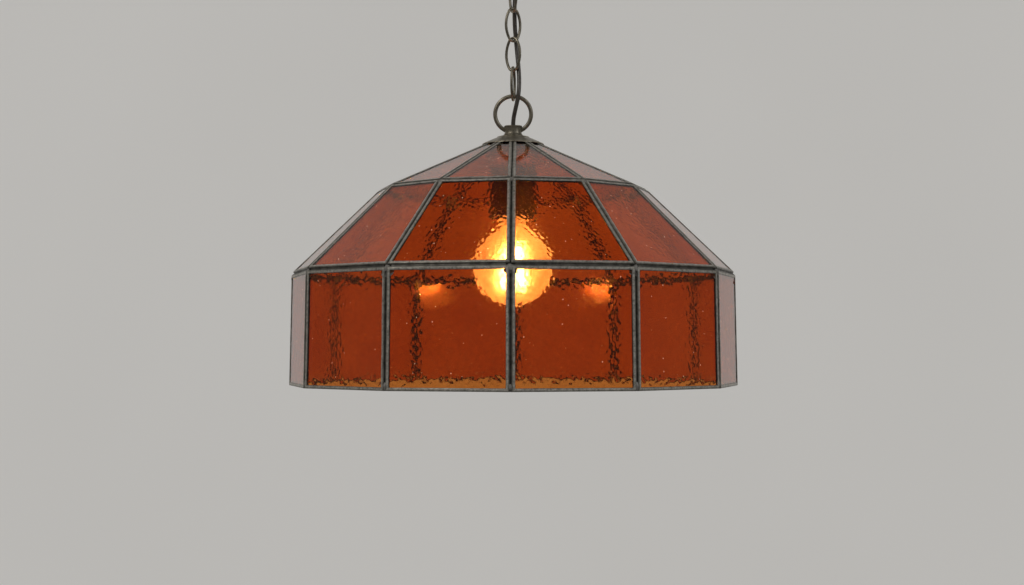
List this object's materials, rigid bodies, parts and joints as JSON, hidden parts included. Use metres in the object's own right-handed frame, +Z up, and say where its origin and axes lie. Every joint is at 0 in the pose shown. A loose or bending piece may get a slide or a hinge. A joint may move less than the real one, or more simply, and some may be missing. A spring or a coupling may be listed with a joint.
{
  "type": "pendant ceiling light",
  "caption": "Hanging lamp: a many-sided dome shade of textured amber glass in metal came, on a link chain threaded with its cord, a ring, a ceiling canopy and a globe bulb.",
  "frame": {"origin": "on the lamp's axis at the ceiling plane, the top of the canopy and crossbar", "axes": "+Z up; -Y faces the viewer and a corner of the shade; the lamp hangs below the origin"},
  "size_m": [0.4574, 0.4574, 0.5017],
  "materials": {
    "zinc_plate": "zinc plated",
    "green_screw": "green dyed steel",
    "antique_brass": "aged brown-bronze patina, rubbed on the edges",
    "brown_cord": "satin brown jacket",
    "dark_cup": "dark bronze paint",
    "porcelain": "glazed",
    "bright_brass": "plain",
    "came": "dark patina on lead came, worn to grey on the crowns",
    "solder": "dull solder",
    "amber_glass": "hammered amber cathedral glass with seeds",
    "bulb_glass": "clear",
    "filament": "warm white glow",
    "nickel": "satin",
    "black_glass": "black",
    "tin_lead": "dull"
  },
  "bodies": {
    "ceiling": {"crossbar": "zinc_plate", "ground_screw": "green_screw", "ceiling_nipple": "zinc_plate", "nipple_nut": "zinc_plate", "ceiling_loop": "antique_brass", "ceiling_cord": "brown_cord", "supply_cord": "brown_cord"},
    "canopy_body": {"canopy": "antique_brass", "screw_collar": "antique_brass"},
    "link_1": {"chain_link_1": "antique_brass"},
    "link_2": {"chain_link_2": "antique_brass"},
    "link_3": {"chain_link_3": "antique_brass"},
    "link_4": {"chain_link_4": "antique_brass"},
    "link_5": {"chain_link_5": "antique_brass"},
    "lamp": {"lamp_loop": "antique_brass", "lamp_cord": "brown_cord", "vase_cap": "antique_brass", "inner_cap": "antique_brass", "lamp_nipple": "zinc_plate", "lock_nuts": "zinc_plate", "socket_cup": "dark_cup", "socket_body": "porcelain", "screw_shell": "bright_brass", "center_contact": "bright_brass", "terminal_screws": "bright_brass", "skirt_came": "came", "shoulder_came": "came", "crown_came": "came", "solder_seams": "solder", "crown_glass": "amber_glass", "skirt_glass_01": "amber_glass", "skirt_glass_02": "amber_glass", "skirt_glass_03": "amber_glass", "skirt_glass_04": "amber_glass", "skirt_glass_05": "amber_glass", "skirt_glass_06": "amber_glass", "skirt_glass_07": "amber_glass", "skirt_glass_08": "amber_glass", "skirt_glass_09": "amber_glass", "skirt_glass_10": "amber_glass", "skirt_glass_11": "amber_glass", "skirt_glass_12": "amber_glass", "shoulder_glass_01": "amber_glass", "shoulder_glass_02": "amber_glass", "shoulder_glass_03": "amber_glass", "shoulder_glass_04": "amber_glass", "shoulder_glass_05": "amber_glass", "shoulder_glass_06": "amber_glass", "shoulder_glass_07": "amber_glass", "shoulder_glass_08": "amber_glass", "shoulder_glass_09": "amber_glass", "shoulder_glass_10": "amber_glass", "shoulder_glass_11": "amber_glass", "shoulder_glass_12": "amber_glass"},
    "bulb": {"bulb_globe": "bulb_glass", "bulb_stem": "bulb_glass", "bulb_filament": "filament", "bulb_base": "nickel", "bulb_insulator": "black_glass", "bulb_contact": "tin_lead"}
  },
  "joints": [
    {"name": "link_1_swing", "type": "hinge", "parent": "ceiling", "child": "link_1", "pos_m": [0, 0, -0.0589], "axis": [0.5, -0.866, 0], "range_deg": [-15, 15], "deforming": ["supply_cord"]},
    {"name": "link_2_swing", "type": "hinge", "parent": "link_1", "child": "link_2", "pos_m": [0, 0, -0.0885], "axis": [0.8829, 0.4695, 0], "range_deg": [-15, 15], "deforming": ["supply_cord"]},
    {"name": "link_3_swing", "type": "hinge", "parent": "link_2", "child": "link_3", "pos_m": [0, 0, -0.1188], "axis": [0.3746, -0.9272, 0], "range_deg": [-15, 15], "deforming": ["supply_cord"]},
    {"name": "link_4_swing", "type": "hinge", "parent": "link_3", "child": "link_4", "pos_m": [0, 0, -0.1491], "axis": [0.809, 0.5878, 0], "range_deg": [-15, 15], "deforming": ["supply_cord"]},
    {"name": "link_5_swing", "type": "hinge", "parent": "link_4", "child": "link_5", "pos_m": [0, 0, -0.1794], "axis": [0.788, -0.6157, 0], "range_deg": [-15, 15], "deforming": ["supply_cord"]},
    {"name": "lamp_swing", "type": "hinge", "parent": "link_5", "child": "lamp", "pos_m": [0, 0, -0.2097], "axis": [0.1736, 0.9848, 0], "range_deg": [-15, 15], "deforming": ["supply_cord"]},
    {"name": "canopy_drop", "type": "slide", "parent": "ceiling", "child": "canopy_body", "axis": [0, 0, -1], "range_m": [0, 0.025]},
    {"name": "bulb_out", "type": "slide", "parent": "lamp", "child": "bulb", "axis": [0, 0, -1], "range_m": [0, 0.03]}
  ]
}
